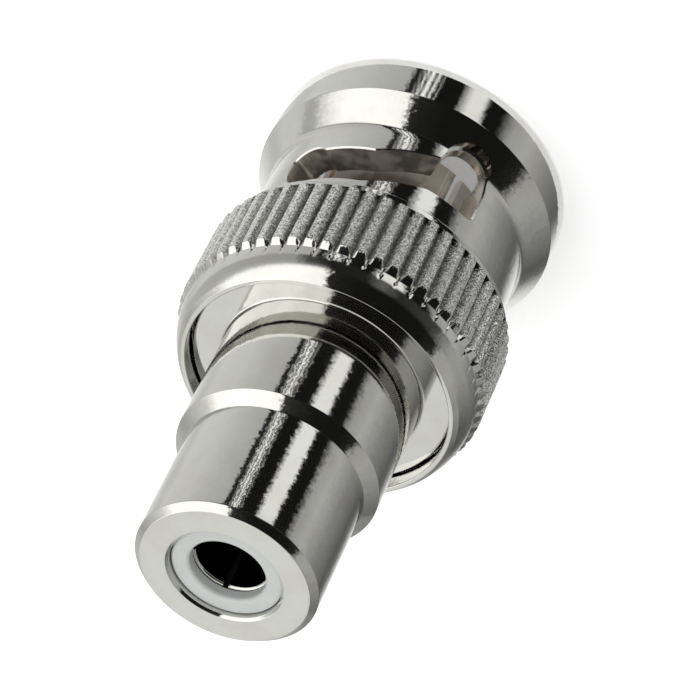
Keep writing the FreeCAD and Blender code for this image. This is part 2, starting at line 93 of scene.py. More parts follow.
class AdapterSizes(bpy.types.PropertyGroup):
    """Sizes of the pieces. Waist and shoulder follow the photograph, the rest the solids."""

    nut_length: length(14.95, "Nut length", "Front face to rear rim")
    nut_bore: length(4.92, "Nut bore", "Radius that takes the mating sleeve")
    waist: length(6.25, "Waist", "Radius that carries the cam slots")
    flange: length(7.2, "Flange", "Radius of the front flange")
    flange_top: length(2.3, "Flange height", "Front face to the flange's rear edge")
    shoulder_top: length(3.9, "Shoulder", "Height where the sloping shoulder meets the waist")
    land_foot: length(8.75, "Land foot", "Height where the smooth land starts")
    land: length(7.05, "Land", "Radius of the smooth land")
    knurl_foot: length(9.3, "Knurl foot", "Height where the ridges start")
    knurl_top: length(13.0, "Knurl top", "Height where the ridges' chamfer starts")
    collar_foot: length(13.35, "Collar foot", "Height where the round collar starts")
    knurl: length(7.3, "Knurl", "Radius of the crests")
    knurl_root: length(7.0, "Knurl root", "Radius of the bottom of the grooves")
    groove_width: length(0.46, "Groove width", "Width of a groove at the crests")
    knurl_count: IntProperty(name="Grooves", description="Grooves around the nut", default=57)
    rim: length(6.62, "Rim", "Radius where the round collar ends")
    rim_bore: length(6.2, "Rim bore", "Radius of the recess around the hub")
    lip_top: length(13.57, "Lip top", "Height of the lip's rear face")
    lip_foot: length(13.07, "Lip foot", "Height of the lip's front face")
    lip_bore: length(3.96, "Lip bore", "Radius of the lip's hole")
    slot_half: length(1.075, "Slot half width", "Half of the width of a cam slot")
    slot_entry: length(5.6, "Slot entry", "Middle height of the entry")
    slot_lock: length(6.55, "Slot end", "Middle height of the level end")
    entry_hole: length(1.2, "Entry hole", "Radius of the round front end")
    entry_hole_height: length(4.4, "Entry hole height", "Middle height of the round front end")
    lock_hole: length(1.15, "Lock hole", "Radius of the lock hole")
    lock_hole_height: length(6.4, "Lock hole height", "Middle height of the lock hole")
    groove_floor: length(5.65, "Stud groove", "Distance of the stud groove's floor from the axis")
    groove_half: length(1.15, "Stud groove half width", "Half of the width of a stud groove")
    hub: length(6.1, "Hub", "Radius of the hub flange")
    hub_foot: length(13.6, "Hub foot", "Height of the hub's front face")
    hub_face: length(14.2, "Hub face", "Height of the hub's rear face")
    rear_barrel: length(4.7, "Rear barrel", "Radius behind the step")
    step_foot: length(20.1, "Step foot", "Height where the cone starts")
    step_top: length(20.6, "Step top", "Height where the cone ends")
    front_barrel: length(4.15, "Front barrel", "Radius that takes the phono plug")
    socket_face: length(26.8, "Socket face", "Height of the socket's face")
    shell_bore: length(2.55, "Shell bore", "Radius of the shell's bore")
    spigot: length(3.08, "Spigot", "Radius of the spigot in the plug body")
    spigot_foot: length(12.22, "Spigot foot", "Height of the spigot's end")
    bush_face: length(26.5, "Bush face", "Height of the white ring's face")
    bush_mouth: length(1.72, "Bush mouth", "Radius of the hole in the white ring")
    contact_top: length(25.88, "Leaf tips", "Height of the leaf tips")
    contact_bore: length(1.6, "Leaf bore", "Radius inside the leaves")
    contact_wall: length(0.36, "Leaf wall", "Wall of the leaves")
    leaf_slit: length(0.25, "Leaf slit", "Width of the slits between the leaves")
    plug_tip: length(2.3, "Finger tips", "Height of the finger tips")
    plug_outer: length(4.05, "Fingers", "Radius outside the fingers")
    plug_bore: length(3.45, "Finger bore", "Radius inside the fingers")
    plug_shoulder: length(4.8, "Plug shoulder", "Radius of the shoulder that carries the spring")
    neck: length(3.9, "Neck", "Radius that the nut turns on")
    finger_slit: length(0.45, "Finger slit", "Width of the slits between the fingers")
    spring_foot: length(11.82, "Spring foot", "Height of the wave spring's lowest point")
    spring_top: length(12.77, "Spring top", "Height of the wave spring's highest point at rest")
    spring_strip: length(0.2, "Spring strip", "Thickness of the wave spring's strip")
    spring_width: length(0.65, "Spring width", "Radial width of the wave spring's strip")
    pull: length(0.7, "Pull", "How far the nut pulls against the spring")
    pin: length(0.675, "Pin", "Radius of the centre pin")
    stem: length(0.95, "Stem", "Radius of the pin's shank")


class AdapterFinishes(bpy.types.PropertyGroup):
    """Colours and gloss of the finishes."""

    nickel: colour((0.68, 0.68, 0.655), "Nickel", "Bright nickel plating")
    nickel_dull: colour((0.64, 0.63, 0.60), "Dull nickel", "Nickel where it is a little stained")
    body_nickel: colour((0.80, 0.70, 0.60), "Inner nickel", "Thinner plating inside the nut")
    white: colour((0.58, 0.60, 0.585), "White plastic", "Moulded insulators")
    gold: colour((0.83, 0.63, 0.30), "Gold", "Plating of the centre pin")
    steel: colour((0.52, 0.52, 0.53), "Spring steel", "Wave spring")
    silicone: colour((0.42, 0.12, 0.09), "Silicone", "Sealing ring")
    floor: colour((0.97, 0.97, 0.97), "Floor", "Plain pale floor")
    floor_lift: factor(0.28, "Floor lift", "Light that the floor adds to reach a white background")
    gloss: factor(0.07, "Nickel roughness", "Roughness of bright nickel")
    world_level: FloatProperty(
        name="Ambient", description="Light from all round", default=0.80, min=0
    )
    lamp_power: FloatProperty(
        name="Lamp", description="Soft box", default=1.0, min=0, unit="POWER"
    )


# Shapes. A turned piece is profile(s) = (radius, height), carried round the axis:
# point(a, s) = (radius cos a, radius sin a, height).


def rounded(corners):
    """Closed profile through (radius, height, fillet) corners.

    Each fillet is an arc of its own radius between two tangent points. A point held
    close to each end of the arc keeps the straight runs flat in the shading.
    """
    steps = 5
    hold = 0.05 * MM
    points = []
    count = len(corners)
    for index, (r, z, fillet) in enumerate(corners):
        here = np.array([r, z])
        before = np.array(corners[index - 1][:2]) - here
        after = np.array(corners[(index + 1) % count][:2]) - here
        room = min(np.linalg.norm(before), np.linalg.norm(after))
        to_before = before / np.linalg.norm(before)
        to_after = after / np.linalg.norm(after)
        if fillet <= 0:
            points.append(here)
            continue
        half = math.acos(np.clip(to_before @ to_after, -1, 1)) / 2
        reach = min(fillet / math.tan(half), room * 0.42)
        radius = reach * math.tan(half)
        middle = to_before + to_after
        centre = here + middle / np.linalg.norm(middle) * radius / math.sin(half)
        start = here + to_before * reach
        end = here + to_after * reach
        first = math.atan2(*(start - centre)[::-1])
        sweep = math.atan2(*(end - centre)[::-1]) - first
        sweep = (sweep + math.pi) % (2 * math.pi) - math.pi
        turn = first + sweep * np.linspace(0, 1, steps)
        if room > reach + 4 * hold:
            points.append(here + to_before * (reach + hold))
        points.extend(centre + radius * np.stack([np.cos(turn), np.sin(turn)], axis=1))
        if room > reach + 4 * hold:
            points.append(here + to_after * (reach + hold))
    return np.array(points)


def around(count, start=0.0):
    """Even angles for a full turn."""
    return start + np.arange(count) * 2 * math.pi / count


def carried(profile, angles):
    """Grid of points: the profile carried round the axis. profile is (s, 2) or (a, s, 2)."""
    profile = np.broadcast_to(profile, (len(angles),) + profile.shape[-2:])
    radius = profile[..., 0]
    turn = angles[:, None]
    return np.stack([radius * np.cos(turn), radius * np.sin(turn), profile[..., 1]], axis=2)


def grid_quads(rows, columns, wrap_rows=True, wrap_columns=True):
    """Corner numbers of the quads of a grid, wound so that they face away from the material."""
    last_row = rows if wrap_rows else rows - 1
    last_column = columns if wrap_columns else columns - 1
    i, j = np.meshgrid(np.arange(last_row), np.arange(last_column), indexing="ij")
    i, j = i.ravel(), j.ravel()
    up = (i + 1) % rows
    across = (j + 1) % columns
    corners = [i * columns + j, up * columns + j, up * columns + across, i * columns + across]
    return np.stack(corners, axis=1)


def new_mesh(name, points, quads):
    """An object from whole arrays of points and quads, with its doubles merged."""
    mesh = bpy.data.meshes.new(name)
    mesh.vertices.add(len(points))
    mesh.vertices.foreach_set("co", points.astype(np.float32).ravel())
    mesh.loops.add(quads.size)
    mesh.loops.foreach_set("vertex_index", quads.astype(np.int32).ravel())
    mesh.polygons.add(len(quads))
    mesh.polygons.foreach_set("loop_start", np.arange(len(quads), dtype=np.int32) * 4)
    mesh.update(calc_edges=True)
    mesh.validate()
    item = bpy.data.objects.new(name, mesh)
    bpy.context.scene.collection.objects.link(item)
    return item


def evaluated(item):
    """Replace an object's mesh by what its modifiers make of it."""
    graph = bpy.context.evaluated_depsgraph_get()
    graph.update()
    mesh = bpy.data.meshes.new_from_object(item.evaluated_get(graph))
    item.modifiers.clear()
    old = item.data
    item.data = mesh
    bpy.data.meshes.remove(old)


def welded(item, distance=0.0004 * MM):
    """Merge doubles, so that poles and seams are closed."""
    weld = item.modifiers.new("weld", "WELD")
    weld.merge_threshold = distance
    evaluated(item)


def cut(item, cutters):
    """Take the cutters away from a piece, one after the other."""
    for cutter in cutters:
        boolean = item.modifiers.new(cutter.name, "BOOLEAN")
        boolean.operation = "DIFFERENCE"
        boolean.solver = "EXACT"
        boolean.object = cutter
    evaluated(item)
    for cutter in cutters:
        mesh = cutter.data
        bpy.data.objects.remove(cutter)
        bpy.data.meshes.remove(mesh)


def finished(item, body, node, finish, crease=30.0):
    """Smooth shading up to a crease, the finish, and the piece's place in the frame."""
    item.data.materials.clear()
    item.data.materials.append(finish)
    item.data.shade_smooth()
    item.data.set_sharp_from_angle(angle=math.radians(crease))
    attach(item, body)
    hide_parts(node)
    return item


def turned(name, corners, count=256):
    """A piece turned from one closed profile, rounded at its corners."""
    profile = rounded(corners)
    points = carried(profile, around(count))
    quads = grid_quads(count, len(profile))
    item = new_mesh(name, points.reshape(-1, 3), quads)
    if profile[:, 0].min() <= 1e-9:
        welded(item)
    return item


def slab(name, half_width, low, high, near, far, turn):
    """Cutter: a flat slab along a direction turned about the axis, from near to far."""
    x = np.array([near, far])
    y = np.array([-half_width, half_width])
    z = np.array([low, high])
    ring = np.array([[y[0], z[0]], [y[1], z[0]], [y[1], z[1]], [y[0], z[1]]])
    points = np.array([[end, side, height] for end in x for side, height in ring])
    c, s = math.cos(turn), math.sin(turn)
    points = points @ np.array([[c, s, 0], [-s, c, 0], [0, 0, 1]])
    ends = [[0, 3, 2, 1], [4, 5, 6, 7]]
    sides = [[0, 1, 5, 4], [1, 2, 6, 5], [2, 3, 7, 6], [3, 0, 4, 7]]
    quads = np.array(ends + sides)
    return new_mesh(name, points, quads)


def slot_outline(s):
    """Lower and upper edge of a cam slot, unrolled at the waist: (distance, low, high) arrays.

    The band is level, climbs along a ramp and ends level. Its lower edge dips into the
    circle of the entry hole, and its far end is the circle of the lock hole.
    """
    r = s.waist
    entry_start, entry_end = math.radians(-118.5) * r, math.radians(-95.5) * r
    lock_start, lock_end = math.radians(-68.5) * r, math.radians(-39.5) * r
    body = np.linspace(entry_start, lock_end, 150)
    tail = lock_end + s.lock_hole * np.sin(np.linspace(0, math.pi / 2, 16)[1:])
    middle = np.interp(body, [entry_end, lock_start], [s.slot_entry, s.slot_lock])
    low = middle - s.slot_half
    high = middle + s.slot_half
    entry_axis = ENTRY_TURN * r
    reach = np.clip(1 - ((body - entry_axis) / s.entry_hole) ** 2, 0, None)
    dip = s.entry_hole_height - s.entry_hole * np.sqrt(reach)
    low = np.where(reach > 0, np.minimum(low, dip), low)
    reach = np.clip(1 - ((body - lock_end) / s.lock_hole) ** 2, 0, None)
    dip = s.lock_hole_height - s.lock_hole * np.sqrt(reach)
    low = np.where(reach > 0, np.minimum(low, dip), low)
    tail_reach = np.sqrt(np.clip(1 - ((tail - lock_end) / s.lock_hole) ** 2, 0, None))
    tail_low = s.lock_hole_height - s.lock_hole * tail_reach
    tail_high = s.lock_hole_height + s.lock_hole * tail_reach
    # Rounded inner corners, as a cutter leaves them.
    corner = 0.35 * MM
    run = np.clip((body - entry_start) / corner, 0, 1)
    pull = corner * (1 - np.sqrt(1 - (1 - run) ** 2))
    low = low + pull
    high = high - pull
    kernel = np.array([1, 4, 6, 4, 1]) / 16
    low[2:-2] = np.convolve(low, kernel, "valid")
    high[2:-2] = np.convolve(high, kernel, "valid")
    along = np.concatenate([body, tail])
    return along, np.concatenate([low, tail_low]), np.concatenate([high, tail_high])


def slot_cutter(name, s, turn):
    """Cutter for a cam slot: its outline carried outwards, flared where it leaves the waist."""
    along, low, high = slot_outline(s)
    lower, upper = np.stack([along, low], axis=1), np.stack([along, high], axis=1)
    loop = np.concatenate([lower, upper[::-1][1:]])
    tangent = np.roll(loop, -1, axis=0) - np.roll(loop, 1, axis=0)
    normal = np.stack([tangent[:, 1], -tangent[:, 0]], axis=1)
    normal /= np.linalg.norm(normal, axis=1, keepdims=True)
    flare = 0.07 * MM
    inside, outside = s.nut_bore - 0.8 * MM, s.flange + 1 * MM
    levels = [
        (inside, 0.0),
        (s.waist - flare, 0.0),
        (s.waist + flare, 2 * flare),
        (outside, 2 * flare),
    ]
    rings = []
    for radius, offset in levels:
        outline = loop + normal * offset
        angle = outline[:, 0] / s.waist + turn
        ring = [radius * np.cos(angle), radius * np.sin(angle), outline[:, 1]]
        rings.append(np.stack(ring, axis=1))
    count = len(loop)
    points = np.concatenate(rings)
    walls = grid_quads(len(levels), count, wrap_rows=False)
    # The caps are ladders between the lower and the upper edge.
    low_edge = np.arange(len(along) - 1)
    mate = count - 1 - low_edge
    mate_next = count - 2 - low_edge
    inner = np.stack([low_edge, low_edge + 1, mate_next, mate], axis=1)
    outer = inner[:, ::-1] + count * (len(levels) - 1)
    return new_mesh(name, points, np.concatenate([walls, inner, outer])[:, ::-1])


def nut_profile(s):
    """Profile of the nut, with the ridges' crests as its outline between land and rim."""
    edge = 0.2 * MM
    mouth = 0.3 * MM
    drop = s.land - s.rim
    rim_foot = s.nut_length - edge
    collar = [
        (s.land - drop * k ** 2, s.collar_foot + (rim_foot - s.collar_foot) * k, 0)
        for k in np.linspace(0, 1, 12)[1:-1]
    ]
    ridge = [(s.knurl, z, 0) for z in np.linspace(s.knurl_foot + edge, s.knurl_top, 6)[:-1]]
    return rounded([
        (s.nut_bore + mouth, 0, FINE),
        (s.flange, 0, 0.28 * MM),
        (s.flange, s.flange_top, 0.07 * MM),
        (s.waist, s.shoulder_top, 0.7 * MM),
        (s.waist, s.land_foot, 0.12 * MM),
        (s.land, s.land_foot, 0.12 * MM),
        (s.land, s.knurl_foot, 0.02 * MM),
        (s.knurl, s.knurl_foot, 0.12 * MM),
        *ridge,
        (s.knurl, s.knurl_top, 0.25 * MM),
        (s.land, s.collar_foot, 0.08 * MM),
        *collar,
        (s.rim, rim_foot, 0.04 * MM),
        (s.rim - edge, s.nut_length, 0.04 * MM),
        (s.rim_bore, s.nut_length, FINE),
        (s.rim_bore, s.lip_top, 0.08 * MM),
        (s.lip_bore, s.lip_top, FINE),
        (s.lip_bore, s.lip_foot, FINE),
        (s.nut_bore, s.lip_foot, FINE),
        (s.nut_bore, mouth, FINE),
    ])


def knurled(s, profile):
    """The profile at each angle, with V grooves pressed into its outside.

    radius(a, s) = softmin(profile radius, root + |t| / slope), where t is the distance
    from the middle of the nearest groove along the crests.
    """
    pitch = 2 * math.pi / s.knurl_count
    first_groove = math.radians(1.5)
    # Columns within a pitch, close together where a groove's edges are.
    right = [0.08, 0.2, 0.265, 0.315, 0.38]
    share = np.array([-k for k in reversed(right)] + [0.0] + right + [0.5])
    angles = (np.arange(s.knurl_count)[:, None] + share[None, :]).ravel() * pitch + first_groove
    t = np.abs(np.tile(share, s.knurl_count)) * pitch * s.knurl
    slope = s.groove_width / 2 / (s.knurl - s.knurl_root)
    blunt = 0.02 * MM
    floor = s.knurl_root + np.sqrt(t ** 2 + blunt ** 2) / slope - blunt / slope
    soft = 0.012 * MM
    r, z = profile[:, 0], profile[:, 1]
    within = (z > s.knurl_foot + 0.002 * MM) & (z < s.nut_length - 0.1 * MM)
    outside = within & (r > s.rim - 0.01 * MM)
    gap = floor[:, None] - r[None, :]
    lower = r[None, :] + 0.5 * (gap - np.sqrt(gap ** 2 + soft ** 2)) + 0.25 * soft
    lower = np.minimum(lower, r[None, :])
    radius = np.where(outside[None, :], lower, r[None, :])
    height = np.broadcast_to(z, radius.shape)
    return angles, np.stack([radius, height], axis=2)


# Finishes. Every pattern reads Object coordinates, which are the frame's own metres.


class Graph:
    """Short names for the nodes of one material."""

    def __init__(self, name):
        self.material = bpy.data.materials.new(name)
        self.material.use_nodes = True
        self.tree = self.material.node_tree
        self.tree.nodes.clear()
        self.output = self.node("ShaderNodeOutputMaterial")
        self.place = self.node("ShaderNodeTexCoord").outputs["Object"]
        parts = self.node("ShaderNodeSeparateXYZ")
        self.feed(parts.inputs[0], self.place)
        self.height = parts.outputs[2]
        flat = self.node("ShaderNodeCombineXYZ")
        self.feed(flat.inputs[0], parts.outputs[0])
        self.feed(flat.inputs[1], parts.outputs[1])
        self.flat = flat.outputs[0]
        reach = self.node("ShaderNodeVectorMath", operation="LENGTH")
        self.feed(reach.inputs[0], self.flat)
        self.radius = reach.outputs["Value"]

    def node(self, kind, **settings):
        """A node with its properties set."""
        item = self.tree.nodes.new(kind)
        for key, value in settings.items():
            setattr(item, key, value)
        return item

    def feed(self, socket, value):
        """Link a socket, or set it where the value is plain."""
        if isinstance(value, bpy.types.NodeSocket):
            self.tree.links.new(value, socket)
        else:
            socket.default_value = value

    def maths(self, operation, first, second=0.0):
        """One number from two."""
        item = self.node("ShaderNodeMath", operation=operation)
        self.feed(item.inputs[0], first)
        self.feed(item.inputs[1], second)
        return item.outputs[0]

    def vector(self, operation, first, second=(0, 0, 0), scale=None):
        """One vector from two."""
        item = self.node("ShaderNodeVectorMath", operation=operation)
        self.feed(item.inputs[0], first)
        self.feed(item.inputs[1], second)
        if scale is not None:
            self.feed(item.inputs["Scale"], scale)
        return item.outputs["Vector"]

    def noise(self, place, scale, detail=2.0, roughness=0.5, distortion=0.0):
        """Fractal noise from 0 to 1."""
        item = self.node("ShaderNodeTexNoise")
        self.feed(item.inputs["Vector"], place)
        item.inputs["Scale"].default_value = scale
        item.inputs["Detail"].default_value = detail
        item.inputs["Roughness"].default_value = roughness
        item.inputs["Distortion"].default_value = distortion
        return item.outputs["Fac"]

    def span(self, value, low, high, to_low, to_high):
        """Map a range onto another, clamped."""
        item = self.node("ShaderNodeMapRange")
        for socket, number in zip(item.inputs, (value, low, high, to_low, to_high)):
            self.feed(socket, number)
        return item.outputs[0]

    def mix(self, share, first, second):
        """Blend two colours."""
        item = self.node("ShaderNodeMix", data_type="RGBA")
        self.feed(item.inputs["Factor"], share)
        self.feed(item.inputs["A"], (*first, 1) if isinstance(first, tuple) else first)
        self.feed(item.inputs["B"], (*second, 1) if isinstance(second, tuple) else second)
        return item.outputs["Result"]

    def bump(self, height, distance, strength=1.0, normal=None):
        """Bump from a height."""
        item = self.node("ShaderNodeBump")
        self.feed(item.inputs["Strength"], strength)
        item.inputs["Distance"].default_value = distance
        self.feed(item.inputs["Height"], height)
        if normal is not None:
            self.feed(item.inputs["Normal"], normal)
        return item.outputs["Normal"]

    def band(self, value, start, full, fade, end):
        """1 from full to fade, else 0, with slopes from start and to end."""
        rise = self.span(value, start, full, 0.0, 1.0)
        return self.maths("MULTIPLY", rise, self.span(value, fade, end, 1.0, 0.0))

    def bore(self, radius, height):
        """1 inside a bore of that radius and below that height, else 0."""
        inside = self.span(self.radius, radius, radius + 0.02 * MM, 1.0, 0.0)
        below = self.span(self.height, height - 0.2 * MM, height, 1.0, 0.0)
        return self.maths("MULTIPLY", inside, below)

    def principled(self, **sockets):
        """The surface shader, with its sockets by name."""
        item = self.node("ShaderNodeBsdfPrincipled")
        for key, value in sockets.items():
            self.feed(item.inputs[key.replace("_", " ")], value)
        self.tree.links.new(item.outputs[0], self.output.inputs["Surface"])
        return item


# Noises of the metal, in cells per metre, and the tones of what is worked or stained on it, of the
# darker groove floors, and of painted shade and painted gleams.
LINES, SLOW, STAINS, SPECKS, SPOTS, FLECKS = 9000.0, 420.0, 620.0, 5200.0, 6500.0, 4300.0
SKIN, PITS, WALL_SHADE_CELLS, PAINTED_GLEAM_CELLS = 10500.0, 8500.0, 700.0, 2400.0
KNURL_TONE, PIT_TONE, GROOVE_ROOT_TONE = (0.97, 0.97, 0.94), (0.10, 0.10, 0.095), (0.12, 0.12, 0.11)
CUT_TONE, CUT_PAINTED_SHADE = (0.80, 0.74, 0.65), (0.20, 0.17, 0.14)
PAINTED_GLEAM_TONE, PAINTED_INNER_SHADE = (1.0, 0.98, 0.93), (0.16, 0.13, 0.10)
PAINTED_BORE_SHADE_TONE = (0.03, 0.028, 0.025)


def knurl_skin(g, pressed, swing, gloss, tone):
    """The torn and pitted skin of a pressed knurl, darker towards the floors of its grooves."""
    low, high, root, crest = pressed
    zone = g.span(g.radius, root - 0.2 * MM, root - 0.1 * MM, 0.0, 1.0)
    heights = g.band(g.height, low, low + 0.05 * MM, high - 0.1 * MM, high)
    zone = g.maths("MULTIPLY", zone, heights)
    skin = g.noise(g.place, SKIN, 2.0, 0.8)
    torn = g.maths("MULTIPLY", g.maths("SUBTRACT", skin, 0.5), 4.2)
    swing = g.maths("ADD", swing, g.maths("MULTIPLY", torn, zone))
    gloss = g.maths("ADD", gloss, g.maths("MULTIPLY", zone, 0.08))
    tone = g.mix(zone, tone, KNURL_TONE)
    pits = g.span(g.noise(g.place, PITS, 3.0, 0.85), 0.40, 0.54, 0.62, 0.0)
    tone = g.mix(g.maths("MULTIPLY", zone, pits), tone, PIT_TONE)
    # Darker towards the floors of the grooves.
    toward_groove_root = g.span(g.radius, root, crest - 0.04 * MM, 0.85, 0.0)
    tone = g.mix(g.maths("MULTIPLY", zone, toward_groove_root), tone, GROOVE_ROOT_TONE)
    return swing, gloss, tone


def milled_wall_and_shade(g, milled_and_shaded, metal, gloss, tone):
    """The matt walls of the cam slots, between the nut's bore and its waist, with random clouds of
    painted shade that stand in for their dark reflections.
    """
    inner, outer = milled_and_shaded
    wall = g.band(g.radius, inner, inner + 0.03 * MM, outer - 0.08 * MM, outer - 0.04 * MM)
    heights = g.band(g.height, 3 * MM, 3.1 * MM, 8 * MM, 8.1 * MM)
    wall = g.maths("MULTIPLY", wall, heights)
    metal = g.span(wall, 0.0, 1.0, metal, 0.75)
    gloss = g.maths("ADD", gloss, g.maths("MULTIPLY", wall, 0.08))
    # Random clouds of painted shade stand in for the walls' dark reflections.
    painted_shade_clouds = g.span(g.noise(g.flat, WALL_SHADE_CELLS, 2.0, 0.65), 0.42, 0.56, 0.0, 0.75)
    tone = g.mix(wall, tone, g.mix(painted_shade_clouds, CUT_TONE, CUT_PAINTED_SHADE))
    return metal, gloss, tone


def turned_metal(
    name, bright, dull, rough, ripple, grain, lines, wear,
    pressed=None, milled_and_shaded=None, painted_bore_shade=None, painted_gleam_and_shade=None, metal=1.0,
):
    """Plated metal off a lathe.

    The fine lines run round the axis. ripple turns the normal a little to each side from
    one line to the next and grain does so from spot to spot, so that reflections have
    ragged edges. lines is the depth of the tool marks, and wear is how far the gloss and
    colour vary. pressed gives the heights and radii (low, high, root, crest) of the coarse
    skin that a knurling wheel leaves, milled_and_shaded the (inner, outer) radii of a wall
    whose cuts are matt and which carries random clouds of painted shade, painted_bore_shade
    a (radius, height) bore that is painted dark inside as painted shade, and
    painted_gleam_and_shade the (low, high) heights between which painted shade darkens the
    surface towards the top, over painted bright streaks along the axis.
    """
    g = Graph(name)
    # Height and distance from the axis set the line, and the place round it varies slowly.
    line = g.node("ShaderNodeCombineXYZ")
    g.feed(line.inputs[0], g.maths("MULTIPLY", g.radius, LINES))
    g.feed(line.inputs[1], 0.0)
    g.feed(line.inputs[2], g.maths("MULTIPLY", g.height, LINES))
    streak_place = g.vector("ADD", line.outputs[0], g.vector("SCALE", g.flat, scale=SLOW))
    streak = g.noise(streak_place, 1.0, 3.0, 0.65)
    marks = g.noise(line.outputs[0], 1.2, 2.0, 0.6)
    stain = g.noise(g.place, STAINS, 4.0, 0.6, 0.4)
    speck = g.noise(g.place, SPECKS, 3.0, 0.6)
    spot = g.noise(g.place, SPOTS, 2.0, 0.7)
    fleck = g.noise(g.place, FLECKS, 1.0, 0.6)

    # swing is how far the normal turns to one side.
    swing = g.maths("MULTIPLY", g.maths("SUBTRACT", streak, 0.5), ripple)
    swing = g.maths("ADD", swing, g.maths("MULTIPLY", g.maths("SUBTRACT", spot, 0.5), grain))
    right_fleck = g.span(fleck, 0.56, 0.66, 0.0, 0.3 * grain)
    left_fleck = g.span(fleck, 0.34, 0.44, 0.3 * grain, 0.0)
    swing = g.maths("ADD", swing, g.maths("SUBTRACT", right_fleck, left_fleck))
    tone = g.mix(g.span(stain, 0.42, 0.68, 0.0, 1.0), tuple(bright), tuple(dull))
    uneven = g.maths("ADD", g.maths("MULTIPLY", stain, 0.6), g.maths("MULTIPLY", streak, 0.4))
    gloss = g.span(uneven, 0.3, 0.7, rough * (1 - wear), rough * (1 + wear))
    if pressed:
        swing, gloss, tone = knurl_skin(g, pressed, swing, gloss, tone)
    if milled_and_shaded:
        metal, gloss, tone = milled_wall_and_shade(g, milled_and_shaded, metal, gloss, tone)
    # Painted bright streaks along the axis stand in for stretched reflections, and painted shade
    # darkens the surface towards the top, where the nut shades it.
    if painted_gleam_and_shade:
        painted_gleam = g.span(g.noise(g.flat, PAINTED_GLEAM_CELLS, 2.0, 0.7), 0.56, 0.64, 0.0, 0.7)
        tone = g.mix(painted_gleam, tone, PAINTED_GLEAM_TONE)
        tone = g.mix(g.span(g.height, *painted_gleam_and_shade, 0.0, 0.65), tone, PAINTED_INNER_SHADE)
    # Painted shade: the inside of a bore is painted dark.
    if painted_bore_shade:
        tone = g.mix(g.bore(*painted_bore_shade), tone, PAINTED_BORE_SHADE_TONE)

    facing = g.node("ShaderNodeNewGeometry").outputs["Normal"]
    # A faced end is smoother than a turned side.
    tilt = g.node("ShaderNodeSeparateXYZ")
    g.feed(tilt.inputs[0], facing)
    side = g.span(g.maths("ABSOLUTE", tilt.outputs[2]), 0.85, 0.98, 1.0, 0.1)
    sideways = g.vector("NORMALIZE", g.vector("CROSS_PRODUCT", (0, 0, 1), g.place))
    push = g.vector("SCALE", sideways, scale=g.maths("MULTIPLY", swing, side))
    leaning = g.vector("NORMALIZE", g.vector("ADD", facing, push))
    height = g.maths("ADD", g.maths("MULTIPLY", marks, 0.7), g.maths("MULTIPLY", speck, 0.3))
    normal = g.bump(height, lines, side, leaning)
    g.principled(Base_Color=tone, Metallic=metal, Roughness=gloss, Normal=normal)
    return g.material


def moulded(name, base, shade, rough, grain, depth, soft=0.0, painted_bore_shade=None):
    """Moulded plastic or rubber with a fine grain and slightly uneven colour."""
    g = Graph(name)
    cloud = g.span(g.noise(g.place, 900.0, 3.0, 0.6), 0.35, 0.65, 0.0, 1.0)
    fine = g.noise(g.place, grain, 3.0, 0.55)
    tone = g.mix(cloud, tuple(base), tuple(c * shade for c in base))
    # Painted shade: the inside of a bore is painted black.
    if painted_bore_shade:
        bore_shade_tone = (0.02, 0.02, 0.02)
        tone = g.mix(g.bore(*painted_bore_shade), tone, bore_shade_tone)
    g.principled(
        Base_Color=tone,
        Roughness=g.span(fine, 0.3, 0.7, rough * 0.8, rough * 1.25),
        Normal=g.bump(fine, depth),
        Subsurface_Weight=soft,
        Subsurface_Scale=0.4 * MM,
    )
    return g.material


def settings():
    """The sizes and finishes of this scene."""
    scene = bpy.context.scene
    return scene.adapter_sizes, scene.adapter_finishes


class ADAPTER_OT_shell(bpy.types.Operator):
    """Turn the socket shell: hub, stepped barrel and face."""

    bl_idname = "adapter.shell"
    bl_label = "Socket shell"

    def execute(self, context):
        s, f = settings()
        bevel = 0.3 * MM
        mouth = 0.12 * MM
        item = turned("shell_turned", [
            (s.shell_bore, s.spigot_foot, FINE),
            (s.spigot, s.spigot_foot, FINE),
            (s.spigot, s.hub_foot, 0),
            (s.hub, s.hub_foot, FINE),
            (s.hub, s.hub_face, 0.06 * MM),
            (s.rear_barrel, s.hub_face, 0.12 * MM),
            (s.rear_barrel, s.step_foot, FINE),
            (s.front_barrel, s.step_top, FINE),
            (s.front_barrel, s.socket_face - bevel, 0.06 * MM),
            (s.front_barrel - bevel, s.socket_face, 0.06 * MM),
            (s.shell_bore + mouth, s.socket_face, FINE),
            (s.shell_bore, s.socket_face - mouth, FINE),
        ], 384)
        finish = turned_metal(
            "nickel_barrel", f.nickel, f.nickel_dull, f.gloss, 0.02, 0.055, 0.00015 * MM, 0.3
        )
        finished(item, "core", "socket_shell", finish)
        return {"FINISHED"}


